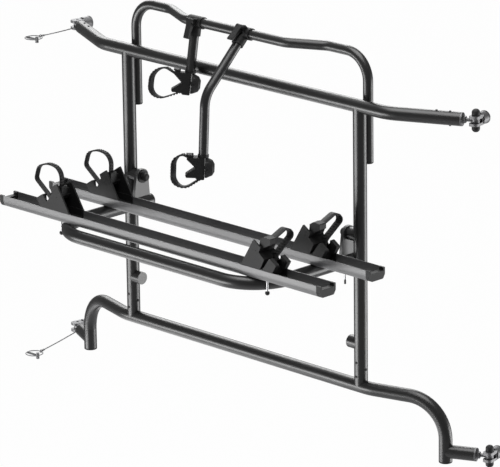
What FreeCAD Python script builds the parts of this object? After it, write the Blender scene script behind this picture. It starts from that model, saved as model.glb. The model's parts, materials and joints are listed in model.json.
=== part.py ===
import FreeCAD, Part
import math
import os
import Sketcher
from FreeCAD import Placement, Rotation, Vector

# Motorhome bike rack for two bicycles.
# X runs along the rack, Y points towards the vehicle, Z is up.
# The origin is in the middle of the lower crossbar, on its axis.

document = FreeCAD.newDocument("bike_rack")
sheet = document.addObject("Spreadsheet::Sheet", "sizes")

driving_sizes = {
    # round tubes of the main frame
    "main_radius": 19,
    "main_wall": 2,
    "post_x": 457.5,
    "bar_height": 800,
    "upper_bend_x": 562,
    "upper_bend_turn": 25,
    "upper_bend_radius": 120,
    "upper_end_x": 750,
    "lower_bend_x": 490,
    "lower_bend_turn": 15.3,
    "lower_bend_radius": 120,
    "foot_x": 717,
    "foot_drop": 170,
    "foot_bend_radius": 110,
    "side_stub_drop": 143,
    "side_stub_reach": 86,
    # bow over the upper crossbar
    "bow_radius": 14,
    "bow_wall": 1.5,
    "bow_rise": 136.7,
    "bow_leg_end": 638,
    "bow_corner_radius": 75,
    "bow_front_y": 21,
    "bow_gap": 0.2,
    "joggle_outer_x": 310,
    "joggle_inner_x": 197,
    "joggle_radius": 60,
    # plugs and short stubs
    "cap_rim": 5,
    "cap_insert": 18,
    "cap_fit": 0.2,
    "stub_radius": 18.4,
    "stub_wall": 2.5,
    "low_stub_height": 123,
    "low_stub_end_x": 418,
    "hinge_height": 433,
    "hinge_stub_end_x": 418,
    # van fittings at the tube ends
    "nut_radius": 10,
    "nut_length": 8,
    "rod_radius": 5,
    "pin_reach": 40,
    "eye_radius": 11,
    "eye_half": 5.6,
    "pin_radius": 4,
    "running_fit": 0.06,
    "clevis_gap": 6,
    "prong": 7.8,
    "prong_half_width": 13.5,
    "prong_nose": 19,
    "web_start": 12.5,
    "socket_radius": 17.5,
    "socket_start": 17,
    "socket_length": 24,
    "socket_rim": 3,
    "socket_rim_step": 0.8,
    "socket_bore_radius": 12,
    "socket_bore_depth": 22,
    "socket_toe_in": 9.4,
    "head_radius": 11.3,
    "head_height": 18,
    # fold-up platform
    "bolt_radius": 6,
    "nut_cap_radius": 11.5,
    "nut_cap_length": 19,
    "washer_radius": 19,
    "washer_thickness": 2.5,
    "bracket_x": 412.5,
    "bracket_thickness": 10,
    "bracket_round": 22,
    "bracket_back": 28,
    "bracket_front": 35.5,
    "arm_drop": 78,
    "arm_x": 413,
    "arm_back_y": 31,
    "platform_front": 361,
    "platform_corner_radius": 130,
    # wheel rails
    "rail_half_length": 624,
    "rail_cap_length": 16,
    "rail_half_width": 29.5,
    "rail_floor_half": 22,
    "rail_height": 31.5,
    "rail_flare": 12,
    "rail_wall": 2.6,
    "rail_cap_fit": 0.15,
    "front_rail_y": 314.5,
    "rear_rail_y": 124.5,
    "clamp_rod_x": 411.5,
    "clamp_rod_radius": 2.8,
    "clamp_rod_length": 41,
    "clamp_ball_radius": 6.5,
    "stay_bolt_y": 15,
    "stay_bolt_length": 46,
    # wheel holders
    "left_holder_x": 408.4,
    "right_holder_x": 401.6,
    "fin_thickness": 5,
    "fin_y": 27,
    "fin_inner": 62,
    "fin_peak_x": 12,
    "fin_peak": 79.8,
    "fin_shoulder_x": 15,
    "fin_shoulder": 62.8,
    "fin_waist_x": 8,
    "fin_waist": 47.8,
    "fin_slot_x": 30,
    "fin_slot": 18.8,
    "fin_bulge_x": 28.2,
    "fin_bulge": 31.5,
    "deep_slot_x": 12.8,
    "deep_slot": 3,
    "deep_slot_width": 9,
    "fin_tooth_x": 48,
    "fin_tooth": 38.6,
    "fin_outer": 72.5,
    "fin_outer_height": 23.3,
    "fin_seat": 0.1,
    "tooth_thickness": 14,
    "web_thickness": 8,
    "web_foot": 12,
    "saddle_lift": 0.7,
    "shoe_half_width": 26.2,
    "shoe_floor_half": 20.2,
    "shoe_wall": 4,
    "anchor_top": 6,
    "strap_width": 22,
    "strap_thickness": 3,
    "slot_play": 0.3,
    "open_strap_width": 16,
    "open_strap_inner": 6,
    "open_strap_outer": 103.5,
    "open_strap_top": 123,
    "open_strap_turn": 68,
    "flat_strap_width": 24,
    "flat_strap_x": 30,
    "flat_strap_top_y": 54,
    "flat_strap_top": 108,
    "flat_strap_reach": 75,
    "flat_strap_turn": 82,
    "latch_gap": 0.6,
    "latch_length": 30,
    "latch_thickness": 5,
    "latch_pin_radius": 1.5,
    # frame arms and claws
    "arm_radius": 13.5,
    "arm_wall": 1.5,
    "arm_fit": 0.06,
    "first_arm_x": 155,
    "first_clamp_x": 150,
    "first_clamp_length": 54,
    "first_arm_end_y": 45,
    "first_arm_drop": 140.7,
    "second_arm_x": 38,
    "second_clamp_x": 39,
    "second_clamp_length": 56,
    "second_arm_bend_y": 176,
    "second_arm_bend_drop": 150.8,
    "second_arm_bend_radius": 80,
    "second_arm_end_y": 186,
    "second_arm_drop": 318.7,
    "clamp_radius": 17.3,
    "sleeve_radius": 17.5,
    "sleeve_length": 40,
    "arm_start": 21,
    "lug_forward": 24.5,
    "lug_rise": 4,
    "lug_radius": 7,
    "lug_thickness": 5,
    "lever_half_width": 9.5,
    "lever_length": 50,
    "lever_thickness": 5,
    "lever_pin_radius": 2.5,
    "claw_drop": 32.5,
    "neck_start": 29.5,
    "neck_floor": 2.5,
    "neck_length": 8,
    "neck_radius": 15.5,
    "spigot_length": 26,
    "jaw_start": -4.5,
    "jaw_face": 20.5,
    "jaw_half_height": 30,
    "jaw_bottom": 32,
    "lower_finger": 49,
    "lower_finger_top": 20,
    "lower_finger_bottom": 27,
    "upper_finger": 46,
    "upper_finger_tip": 25,
    "jaw_half_width": 17,
    "knob_radius": 29,
    "knob_length": 27,
    "knob_waist_radius": 21.5,
    "knob_tip_radius": 11,
    "knob_gap": 0.5,
    "knob_shaft_radius": 4,
    "knob_shaft_length": 18,
    "knob_lobes": 8,
    "claw_strap_width": 22,
    "buckle_start": 27,
    "buckle_length": 19,
    "buckle_top": 37,
    "claw_latch_pivot": 34,
    # lanyards and their ring pins
    "lanyard_radius": 1.6,
    "ferrule_radius": 3,
    "ferrule_length": 11,
    "ring_radius": 25,
    "ring_wire": 1.4,
    "ring_drop": 11,
    "ring_pin_offset": 8,
    "ring_pin_radius": 3.6,
    "ring_pin_head_radius": 5,
    "ring_pin_head_height": 18,
}

for row, (alias, number) in enumerate(driving_sizes.items(), start=1):
    sheet.set(f"A{row}", alias.replace("_", " "))
    sheet.set(f"B{row}", str(number))
    sheet.setAlias(f"B{row}", alias)
document.recompute()


class Size:
    # A length or angle of the sheet, or a sum worked out from several of them.
    # text is the expression that binds it, value is the number it has now.
    def __init__(self, text, value):
        self.text = text
        self.value = value

    def __add__(self, other):
        return joined(self, "+", other)

    def __radd__(self, other):
        return joined(other, "+", self)

    def __sub__(self, other):
        return joined(self, "-", other)

    def __rsub__(self, other):
        return joined(other, "-", self)

    def __mul__(self, other):
        return joined(self, "*", other)

    def __rmul__(self, other):
        return joined(other, "*", self)

    def __truediv__(self, other):
        return joined(self, "/", other)

    def __neg__(self):
        return joined(0, "-", self)


def sized(item):
    if isinstance(item, Size):
        return item
    return Size(f"({item})", float(item))


def joined(left, sign, right):
    left = sized(left)
    right = sized(right)
    if sign == "+":
        value = left.value + right.value
    elif sign == "-":
        value = left.value - right.value
    elif sign == "*":
        value = left.value * right.value
    else:
        value = left.value / right.value
    return Size(f"({left.text} {sign} {right.text})", value)


def sine(angle):
    return Size(f"sin({angle.text})", math.sin(math.radians(angle.value)))


def cosine(angle):
    return Size(f"cos({angle.text})", math.cos(math.radians(angle.value)))


class Cells:
    # gives each cell of the sheet by its name
    def __getattr__(self, alias):
        return Size(f"sizes.{alias}", float(sheet.get(alias)))


cell = Cells()
nodes = {}


def bind(thing, prop, size):
    thing.setExpression(prop, sized(size).text)


def vector(point):
    return Vector(*[sized(number).value for number in point])


def place(thing, point, rotation=Rotation()):
    # puts a thing at a point whose coordinates stay bound to the sheet
    thing.Placement = Placement(vector(point), rotation)
    for axis, number in zip("xyz", point):
        if isinstance(number, Size):
            bind(thing, f"Placement.Base.{axis}", number)
    return thing


def keep(thing, name):
    thing.Label = name
    nodes[name] = thing
    return thing


def new(kind, name):
    return document.addObject(kind, name)


def fused(name, parts):
    thing = new("Part::MultiFuse", name)
    thing.Shapes = parts
    return thing


def cut(name, base, tool):
    thing = new("Part::Cut", name)
    thing.Base = base
    thing.Tool = tool
    return thing


def group(name, parts):
    # several separate solids that share one node
    thing = new("Part::Compound", name)
    thing.Links = parts
    return thing


def cylinder(name, point, direction, radius, height):
    thing = new("Part::Cylinder", name)
    bind(thing, "Radius", radius)
    bind(thing, "Height", height)
    return place(thing, point, Rotation(Vector(0, 0, 1), vector(direction)))


def ball(name, point, radius):
    thing = new("Part::Sphere", name)
    bind(thing, "Radius", radius)
    return place(thing, point)


def ring(name, point, direction, radius, wire):
    thing = new("Part::Torus", name)
    bind(thing, "Radius1", radius)
    bind(thing, "Radius2", wire)
    return place(thing, point, Rotation(Vector(0, 0, 1), vector(direction)))


def corner_arc(before, corner, after, radius):
    # start, middle, end and centre of the arc that rounds one corner
    inward = (corner - before).normalize()
    outward = (after - corner).normalize()
    half_turn = inward.getAngle(outward) / 2
    run = radius * math.tan(half_turn)
    centre = corner + (outward - inward).normalize() * (radius / math.cos(half_turn))
    middle = centre + (corner - centre).normalize() * radius
    return corner - inward * run, middle, corner + outward * run, centre


def route(name, points, radii):
    # open wire of straight runs and tangent arcs, for a bent tube or a strap
    corners = [vector(point) for point in points]
    edges = []
    start = corners[0]
    for index, radius in enumerate(radii, start=1):
        arc = corner_arc(corners[index - 1], corners[index], corners[index + 1], sized(radius).value)
        edges.append(Part.LineSegment(start, arc[0]).toShape())
        edges.append(Part.Arc(*arc[:3]).toShape())
        start = arc[2]
    edges.append(Part.LineSegment(start, corners[-1]).toShape())
    thing = new("Part::Feature", f"{name}_route")
    thing.Shape = Part.Wire(edges)
    return thing


def swept(name, path, section):
    thing = new("Part::Sweep", name)
    thing.Sections = [section]
    thing.Spine = (path, [f"Edge{number + 1}" for number in range(len(path.Shape.Edges))])
    thing.Solid = True
    thing.Frenet = False
    return thing


def swept_rod(name, path, points, radius):
    section = new("Part::Circle", f"{name}_section")
    bind(section, "Radius", radius)
    start = vector(points[0])
    section.Placement = Placement(start, Rotation(Vector(0, 0, 1), vector(points[1]) - start))
    return swept(name, path, section)


def bent_tube(name, points, radii, radius, wall):
    # returns the hollow tube and the solid rod of its outside
    path = route(name, points, radii)
    outside = swept_rod(f"{name}_outside", path, points, radius)
    inside = swept_rod(f"{name}_inside", path, points, radius - wall)
    return cut(name, outside, inside), outside


def swept_band(name, points, radii, width, thickness):
    # flat strap whose route lies in the plane Y = 0 of its own frame
    path = route(name, points, radii)
    section = new("Part::Plane", f"{name}_section")
    bind(section, "Length", width)
    bind(section, "Width", thickness)
    start = vector(points[0])
    along = (vector(points[1]) - start).normalize()
    across = Vector(0, 1, 0)
    turn = Rotation(across, along.cross(across), along, "XYZ")
    corner = start - across * (sized(width).value / 2) - along.cross(across) * (sized(thickness).value / 2)
    section.Placement = Placement(corner, turn)
    return swept(name, path, section)


def plane_of(body, role):
    return [item for item in body.Origin.OriginFeatures if item.Role == role][0]


def fix_point(sketch, geometry, end, point):
    for kind, number in zip(("DistanceX", "DistanceY"), point):
        number = sized(number)
        limit = Sketcher.Constraint(kind, -1, 1, geometry, end, number.value)
        index = sketch.addConstraint(limit)
        sketch.setExpression(f"Constraints[{index}]", number.text)


def outline(body, role, corners, offset=0):
    # Closed sketch on an origin plane. A corner is (x, y) or (x, y, radius).
    sketch = body.newObject("Sketcher::SketchObject", f"{body.Name}_sketch")
    sketch.AttachmentSupport = (plane_of(body, role), [""])
    sketch.MapMode = "FlatFace"
    bind(sketch, "AttachmentOffset.Base.z", offset)
    count = len(corners)
    spots = [vector((corner[0], corner[1], 0)) for corner in corners]
    arcs = {}
    for index, corner in enumerate(corners):
        if len(corner) == 3:
            around = spots[index - 1], spots[index], spots[(index + 1) % count]
            arcs[index] = corner_arc(*around, sized(corner[2]).value)
    for index in range(count):
        after = (index + 1) % count
        start = arcs[index][2] if index in arcs else spots[index]
        end = arcs[after][0] if after in arcs else spots[after]
        sketch.addGeometry(Part.LineSegment(start, end), False)
    for index, corner in enumerate(corners):
        before = (index - 1) % count
        if index not in arcs:
            sketch.addConstraint(Sketcher.Constraint("Coincident", before, 2, index, 1))
            fix_point(sketch, index, 1, corner[:2])
            continue
        # a sketch arc runs anticlockwise, so a right turn takes its ends in reverse
        start, middle, end, centre = arcs[index]
        left_turn = (middle - start).cross(end - middle).z > 0
        ends = (1, 2) if left_turn else (2, 1)
        angles = [math.atan2(spot.y - centre.y, spot.x - centre.x) for spot in (start, end)]
        first, last = angles if left_turn else angles[::-1]
        circle = Part.Circle(centre, Vector(0, 0, 1), sized(corner[2]).value)
        arc = sketch.addGeometry(Part.ArcOfCircle(circle, first, last), False)
        sketch.addConstraint(Sketcher.Constraint("Tangent", before, 2, arc, ends[0]))
        sketch.addConstraint(Sketcher.Constraint("Tangent", arc, ends[1], index, 1))
        limit = sketch.addConstraint(Sketcher.Constraint("Radius", arc, sized(corner[2]).value))
        sketch.setExpression(f"Constraints[{limit}]", sized(corner[2]).text)
        mark = sketch.addGeometry(Part.Point(spots[index]), True)
        sketch.addConstraint(Sketcher.Constraint("PointOnObject", mark, 1, before))
        sketch.addConstraint(Sketcher.Constraint("PointOnObject", mark, 1, index))
        fix_point(sketch, mark, 1, corner[:2])
    return sketch


def pad(body, sketch, length):
    # thickens a sketch evenly to both sides of its plane
    feature = body.newObject("PartDesign::Pad", f"{body.Name}_pad")
    feature.Profile = sketch
    feature.SideType = "Symmetric"
    bind(feature, "Length", length)
    return feature


def plate(name, role, corners, thickness, offset=0):
    body = new("PartDesign::Body", name)
    pad(body, outline(body, role, corners, offset), thickness)
    return body


def turned(name, corners):
    # revolves a half profile, given as (radius, height), about the Z axis
    body = new("PartDesign::Body", name)
    sketch = outline(body, "XZ_Plane", corners)
    feature = body.newObject("PartDesign::Revolution", f"{name}_turn")
    feature.Profile = sketch
    feature.ReferenceAxis = (sketch, ["V_Axis"])
    feature.Angle = 360
    return body


def along(point, direction, distance):
    return tuple(number + step * distance for number, step in zip(point, direction))


def main_frame():
    radius = cell.main_radius
    reach = cell.upper_end_x - cell.upper_bend_x
    end_y = reach * sine(cell.upper_bend_turn) / cosine(cell.upper_bend_turn)
    height = cell.bar_height
    upper_points = [
        (-cell.upper_end_x, end_y, height),
        (-cell.upper_bend_x, 0, height),
        (cell.upper_bend_x, 0, height),
        (cell.upper_end_x, end_y, height),
    ]
    bends = [cell.upper_bend_radius] * 2
    upper_bar, upper_rod = bent_tube("upper_bar", upper_points, bends, radius, cell.main_wall)
    keep(upper_bar, "upper_crossbar")

    foot_y = (cell.foot_x - cell.lower_bend_x) * sine(cell.lower_bend_turn) / cosine(cell.lower_bend_turn)
    lower_points = [
        (-cell.foot_x, foot_y, -cell.foot_drop),
        (-cell.foot_x, foot_y, 0),
        (-cell.lower_bend_x, 0, 0),
        (cell.lower_bend_x, 0, 0),
        (cell.foot_x, foot_y, 0),
        (cell.foot_x, foot_y, -cell.foot_drop),
    ]
    bends = [cell.foot_bend_radius, cell.lower_bend_radius, cell.lower_bend_radius, cell.foot_bend_radius]
    lower_bar, lower_rod = bent_tube("lower_bar", lower_points, bends, radius, cell.main_wall)
    keep(lower_bar, "lower_crossbar")

    both_bars = fused("both_bars", [upper_rod, lower_rod])
    for side, name in ((-1, "left_post"), (1, "right_post")):
        foot = (side * cell.post_x, 0, 0)
        outside = cylinder(f"{name}_outside", foot, (0, 0, 1), radius, height)
        inside = cylinder(f"{name}_inside", foot, (0, 0, 1), radius - cell.main_wall, height)
        keep(cut(f"{name}_tube", cut(f"{name}_wall", outside, inside), both_bars), name)
    return end_y, foot_y, lower_rod


def bow():
    back_y = cell.main_radius + cell.bow_radius + cell.bow_gap
    top = cell.bar_height + cell.bow_rise
    leg_x = cell.post_x
    points = [
        (-leg_x, back_y, cell.bow_leg_end),
        (-leg_x, back_y, top),
        (-cell.joggle_outer_x, back_y, top),
        (-cell.joggle_inner_x, -cell.bow_front_y, top),
        (cell.joggle_inner_x, -cell.bow_front_y, top),
        (cell.joggle_outer_x, back_y, top),
        (leg_x, back_y, top),
        (leg_x, back_y, cell.bow_leg_end),
    ]
    joggle = [cell.joggle_radius] * 2
    bends = [cell.bow_corner_radius] + joggle + joggle + [cell.bow_corner_radius]
    tube, rod = bent_tube("bow_tube", points, bends, cell.bow_radius, cell.bow_wall)
    keep(tube, "top_bow")
    return back_y


def end_cap(name, point, direction, radius, wall):
    # plug pushed into a tube, with a rounded rim as wide as the tube
    insert = radius - wall - cell.cap_fit
    profile = [
        (0, -cell.cap_insert),
        (insert, -cell.cap_insert),
        (insert, 0),
        (radius, 0),
        (radius, cell.cap_rim, 2.5),
        (0, cell.cap_rim),
    ]
    cap = turned(name, profile)
    return place(cap, point, Rotation(Vector(0, 0, 1), vector(direction)))


def tube_caps(foot_y, bow_y):
    caps = []
    for side in (-1, 1):
        foot = (side * cell.foot_x, foot_y, -cell.foot_drop)
        caps.append(end_cap(f"foot_cap_{side + 1}", foot, (0, 0, -1), cell.main_radius, cell.main_wall))
        leg = (side * cell.post_x, bow_y, cell.bow_leg_end)
        caps.append(end_cap(f"bow_cap_{side + 1}", leg, (0, 0, -1), cell.bow_radius, cell.bow_wall))
    keep(group("tube_caps", caps), "tube_end_caps")


def post_stubs():
    # short tubes welded to the inner sides of the posts
    low = []
    high = []
    for side in (-1, 1):
        tag = side + 1
        post = cylinder(
            f"post_core_{tag}", (side * cell.post_x, 0, 0), (0, 0, 1), cell.main_radius, cell.bar_height
        )
        inward = (-side, 0, 0)
        for label, stubs, height, end_x in (
            ("low", low, cell.low_stub_height, cell.low_stub_end_x),
            ("hinge", high, cell.hinge_height, cell.hinge_stub_end_x),
        ):
            start = (side * cell.post_x, 0, height)
            length = cell.post_x - end_x
            outside = cylinder(f"{label}_stub_outside_{tag}", start, inward, cell.stub_radius, length)
            inside = cylinder(
                f"{label}_stub_inside_{tag}", start, inward,
                cell.stub_radius - cell.stub_wall, length - cell.stub_wall
            )
            wall = cut(f"{label}_stub_wall_{tag}", outside, inside)
            stubs.append(cut(f"{label}_stub_{tag}", wall, post))
    keep(group("low_stubs", low), "lower_stubs")
    keep(group("pivot_stubs", high), "hinge_stubs")


def side_stubs(foot_y, lower_rod):
    # tubes from the feet out to the lower van fittings
    stubs = []
    ends = []
    for side in (-1, 1):
        direction = (side * cosine(cell.upper_bend_turn), sine(cell.upper_bend_turn), 0)
        start = (side * cell.foot_x, foot_y, -cell.side_stub_drop)
        outside = cylinder(
            f"side_stub_outside_{side + 1}", start, direction, cell.main_radius - 0.2, cell.side_stub_reach
        )
        inside = cylinder(
            f"side_stub_inside_{side + 1}", start, direction,
            cell.main_radius - cell.main_wall, cell.side_stub_reach
        )
        wall = cut(f"side_stub_wall_{side + 1}", outside, inside)
        stubs.append(cut(f"side_stub_{side + 1}", wall, lower_rod))
        ends.append((along(start, direction, cell.side_stub_reach), direction, side))
    keep(group("side_tubes", stubs), "side_stubs")
    return ends


def hexagon(radius):
    return [
        (
            radius * round(math.cos(math.radians(60 * turn)), 6),
            radius * round(math.sin(math.radians(60 * turn)), 6),
        )
        for turn in range(6)
    ]


def eye_bolt(name, end, direction):
    # threaded rod that ends in a flat eye for the upright pin
    centre = along(end, direction, cell.pin_reach)
    eye = cylinder(
        f"{name}_eye", along(centre, (0, 0, -1), cell.eye_half), (0, 0, 1), cell.eye_radius, cell.eye_half * 2
    )
    rod_start = along(end, direction, cell.cap_rim * -1)
    rod = cylinder(f"{name}_rod", rod_start, direction, cell.rod_radius, cell.pin_reach)
    low = along(centre, (0, 0, -1), cell.eye_half + 1)
    hole = cylinder(f"{name}_hole", low, (0, 0, 1), cell.pin_radius + cell.running_fit, cell.eye_half * 2 + 2)
    return cut(name, fused(f"{name}_blank", [eye, rod]), hole), centre


def van_socket(name, centre, side):
    # clevis that takes the eye, with a cup that slides over the stud on the vehicle
    turn = Rotation(Vector(0, 0, 1), side * cell.socket_toe_in.value)
    half = cell.prong_half_width
    front = -cell.prong_nose
    back = cell.socket_start + 1
    profile = [(-half, front, 9), (half, front, 9), (half, back), (-half, back)]
    height = (cell.clevis_gap + cell.prong) * 2
    block = plate(f"{name}_block", "XY_Plane", profile, height)
    gap_profile = [
        (-half - 1, front - 1),
        (half + 1, front - 1),
        (half + 1, cell.web_start),
        (-half - 1, cell.web_start),
    ]
    slot = plate(f"{name}_slot", "XY_Plane", gap_profile, cell.clevis_gap * 2)
    hole = cylinder(
        f"{name}_hole", (0, 0, -height), (0, 0, 1), cell.pin_radius + cell.running_fit, height * 2
    )
    cup = cylinder(
        f"{name}_cup", (0, cell.socket_start, 0), (0, 1, 0), cell.socket_radius, cell.socket_length
    )
    rim_start = cell.socket_start + cell.socket_length
    rim = cylinder(
        f"{name}_rim", (0, rim_start, 0), (0, 1, 0),
        cell.socket_radius + cell.socket_rim_step, cell.socket_rim
    )
    mouth = rim_start + cell.socket_rim
    bore = cylinder(
        f"{name}_bore", (0, mouth, 0), (0, -1, 0), cell.socket_bore_radius, cell.socket_bore_depth
    )
    clevis = cut(f"{name}_clevis", cut(f"{name}_forked", block, slot), hole)
    solid = cut(f"{name}_body", fused(f"{name}_joined", [clevis, cup, rim]), bore)
    return place(keep(solid, name), centre, turn)


def headed_pin(name, centre):
    # upright pin with a domed head at each end
    reach = cell.clevis_gap + cell.prong + cell.socket_rim_step / 2
    top = reach + cell.head_height
    profile = [
        (0, -top),
        (cell.head_radius, -top, 10),
        (cell.head_radius, -reach),
        (cell.pin_radius, -reach),
        (cell.pin_radius, reach),
        (cell.head_radius, reach),
        (cell.head_radius, top, 10),
        (0, top),
    ]
    pin = turned(f"{name}_turned", profile)
    return place(keep(pin, name), centre)


def van_fittings(end_y, lower_ends):
    ends = [
        ("upper_left", (-cell.upper_end_x, end_y, cell.bar_height), -1),
        ("upper_right", (cell.upper_end_x, end_y, cell.bar_height), 1),
    ]
    ends += [("lower_left" if side < 0 else "lower_right", end, side) for end, direction, side in lower_ends]
    plugs = []
    nuts = []
    bolts = []
    for name, end, side in ends:
        direction = (side * cosine(cell.upper_bend_turn), sine(cell.upper_bend_turn), 0)
        rotation = Rotation(Vector(0, 0, 1), vector(direction))
        plug = end_cap(f"{name}_plug", end, direction, cell.main_radius, cell.main_wall)
        rod_room = cylinder(
            f"{name}_plug_hole",
            along(end, direction, cell.cap_insert * -1 - 1),
            direction,
            cell.rod_radius,
            cell.cap_insert + cell.cap_rim + 2,
        )
        plugs.append(cut(f"{name}_bored_plug", plug, rod_room))
        nut = plate(f"{name}_nut", "XY_Plane", hexagon(cell.nut_radius), cell.nut_length)
        place(nut, along(end, direction, cell.cap_rim + cell.nut_length / 2), rotation)
        nut_hole = cylinder(
            f"{name}_nut_hole", along(end, direction, cell.cap_rim - 1),
            direction, cell.rod_radius, cell.nut_length + 2
        )
        nuts.append(cut(f"{name}_bored_nut", nut, nut_hole))
        bolt, centre = eye_bolt(f"{name}_eye_bolt", end, direction)
        bolts.append(bolt)
        van_socket(f"{name}_socket", centre, side)
        if side > 0:
            headed_pin(f"{name}_pin", centre)
    keep(group("plugs", plugs), "end_plugs")
    keep(group("nuts", nuts), "end_nuts")
    keep(group("eyes", bolts), "eye_bolts")


def pivot_bolts():
    # bolts on which the platform folds, with a domed nut on the inner side
    bolts = []
    inner = cell.bracket_x - cell.bracket_thickness / 2
    for side in (-1, 1):
        start = (side * cell.hinge_stub_end_x, 0, cell.hinge_height)
        inward = Vector(-side, 0, 0)
        shank_end = cell.hinge_stub_end_x - inner + cell.latch_gap / 2
        profile = [
            (0, 0),
            (cell.bolt_radius, 0),
            (cell.bolt_radius, shank_end),
            (cell.washer_radius, shank_end),
            (cell.washer_radius, shank_end + cell.washer_thickness),
            (cell.nut_cap_radius, shank_end + cell.washer_thickness),
            (cell.nut_cap_radius, shank_end + cell.nut_cap_length, 6),
            (0, shank_end + cell.nut_cap_length),
        ]
        bolt = turned(f"pivot_bolt_{side + 1}", profile)
        bolts.append(place(bolt, start, Rotation(Vector(0, 0, 1), inward)))
    keep(group("platform_pivots", bolts), "pivot_bolts")


def platform_frame():
    height = cell.hinge_height - cell.arm_drop
    radius = cell.main_radius
    points = [
        (-cell.arm_x, cell.arm_back_y, height),
        (-cell.arm_x, -cell.platform_front, height),
        (cell.arm_x, -cell.platform_front, height),
        (cell.arm_x, cell.arm_back_y, height),
    ]
    bends = [cell.platform_corner_radius] * 2
    tube, rod = bent_tube("platform_bend", points, bends, radius, cell.main_wall)
    keep(tube, "platform_tube")

    caps = []
    brackets = []
    for side in (-1, 1):
        back = (side * cell.arm_x, cell.arm_back_y, height)
        caps.append(end_cap(f"arm_cap_{side + 1}", back, (0, 1, 0), radius, cell.main_wall))
        foot = -cell.arm_drop
        profile = [
            (cell.bracket_back, foot),
            (cell.bracket_round, 0),
            (cell.bracket_round, cell.bracket_round, cell.bracket_round - 0.05),
            (-cell.bracket_round, cell.bracket_round, cell.bracket_round - 0.05),
            (-cell.bracket_front, foot),
        ]
        blank = plate(f"bracket_blank_{side + 1}", "YZ_Plane", profile, cell.bracket_thickness)
        place(blank, (side * cell.bracket_x, 0, cell.hinge_height))
        across = (side * (cell.bracket_x - cell.bracket_thickness), 0, cell.hinge_height)
        hole = cylinder(
            f"bracket_hole_{side + 1}",
            across,
            (side, 0, 0),
            cell.bolt_radius + cell.running_fit,
            cell.bracket_thickness * 2,
        )
        seated = cut(f"bracket_seated_{side + 1}", blank, rod)
        brackets.append(cut(f"bracket_{side + 1}", seated, hole))
    keep(group("arm_caps", caps), "platform_tube_caps")
    keep(group("brackets", brackets), "hinge_brackets")
    return height + radius


def rails(rail_base):
    caps = []
    for name, rail_y in (("front_rail", cell.front_rail_y), ("rear_rail", cell.rear_rail_y)):
        half = cell.rail_half_width
        floor = cell.rail_floor_half
        flare = cell.rail_flare
        wall = cell.rail_wall
        top = cell.rail_height
        profile = [
            (-floor, 0, 4),
            (floor, 0, 4),
            (half, flare, 9),
            (half, top),
            (half - wall, top),
            (half - wall, flare + 1, 7),
            (floor - 1, wall),
            (-floor + 1, wall),
            (-half + wall, flare + 1, 7),
            (-half + wall, top),
            (-half, top),
            (-half, flare, 9),
        ]
        rail = plate(f"{name}_channel", "YZ_Plane", profile, cell.rail_half_length * 2)
        place(keep(rail, name), (0, -rail_y, rail_base))
        for side in (-1, 1):
            tag = f"{name}_cap_{side + 1}"
            outer = [
                (-floor, 0, 4),
                (floor, 0, 4),
                (half, flare, 9),
                (half, top),
                (half - wall * 2.4, top),
                (half - wall * 2.4, top - 9),
                (-half + wall * 2.4, top - 9),
                (-half + wall * 2.4, top),
                (-half, top),
                (-half, flare, 9),
            ]
            cap = plate(tag, "YZ_Plane", outer, cell.rail_cap_length)
            place(cap, (side * (cell.rail_half_length + cell.rail_cap_length / 2), -rail_y, rail_base))
            caps.append(cap)
    keep(group("rail_caps", caps), "rail_end_caps")


def platform_bolts(rail_base):
    # rods under the front rail, and the long bolt under the right arm
    bolts = []
    for side in (-1, 1):
        top = (side * cell.clamp_rod_x, -cell.front_rail_y, rail_base)
        rod = cylinder(f"clamp_rod_{side + 1}", top, (0, 0, -1), cell.clamp_rod_radius, cell.clamp_rod_length)
        tip = ball(
            f"clamp_tip_{side + 1}", along(top, (0, 0, -1), cell.clamp_rod_length), cell.clamp_ball_radius
        )
        bolts.append(fused(f"clamp_{side + 1}", [rod, tip]))
    under = cell.hinge_height - cell.arm_drop - cell.main_radius
    start = (cell.arm_x, -cell.stay_bolt_y, under - 0.05)
    bolts.append(cylinder("stay_bolt", start, (0, 0, -1), cell.clamp_rod_radius, cell.stay_bolt_length))
    keep(group("platform_rods", bolts), "platform_bolts")


def fin_outline(side, deep):
    # tall leaning tooth, a slot for the strap, and a short outer tooth
    points = [
        (-cell.fin_inner, cell.fin_seat),
        (-cell.fin_peak_x, cell.fin_peak, 2),
        (cell.fin_shoulder_x, cell.fin_shoulder, 2),
        (cell.fin_waist_x, cell.fin_waist),
    ]
    if deep:
        points += [
            (cell.fin_bulge_x, cell.fin_bulge, 2),
            (cell.deep_slot_x, cell.deep_slot),
            (cell.deep_slot_x + cell.deep_slot_width, cell.deep_slot),
        ]
    else:
        points.append((cell.fin_slot_x, cell.fin_slot, 3))
    points += [
        (cell.fin_tooth_x, cell.fin_tooth, 2),
        (cell.fin_outer, cell.fin_outer_height, 2),
        (cell.fin_outer - 14, cell.fin_seat),
    ]
    return mirrored(side, points)


def mirrored(side, points):
    return [(side * point[0],) + tuple(point[1:]) for point in points]


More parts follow.
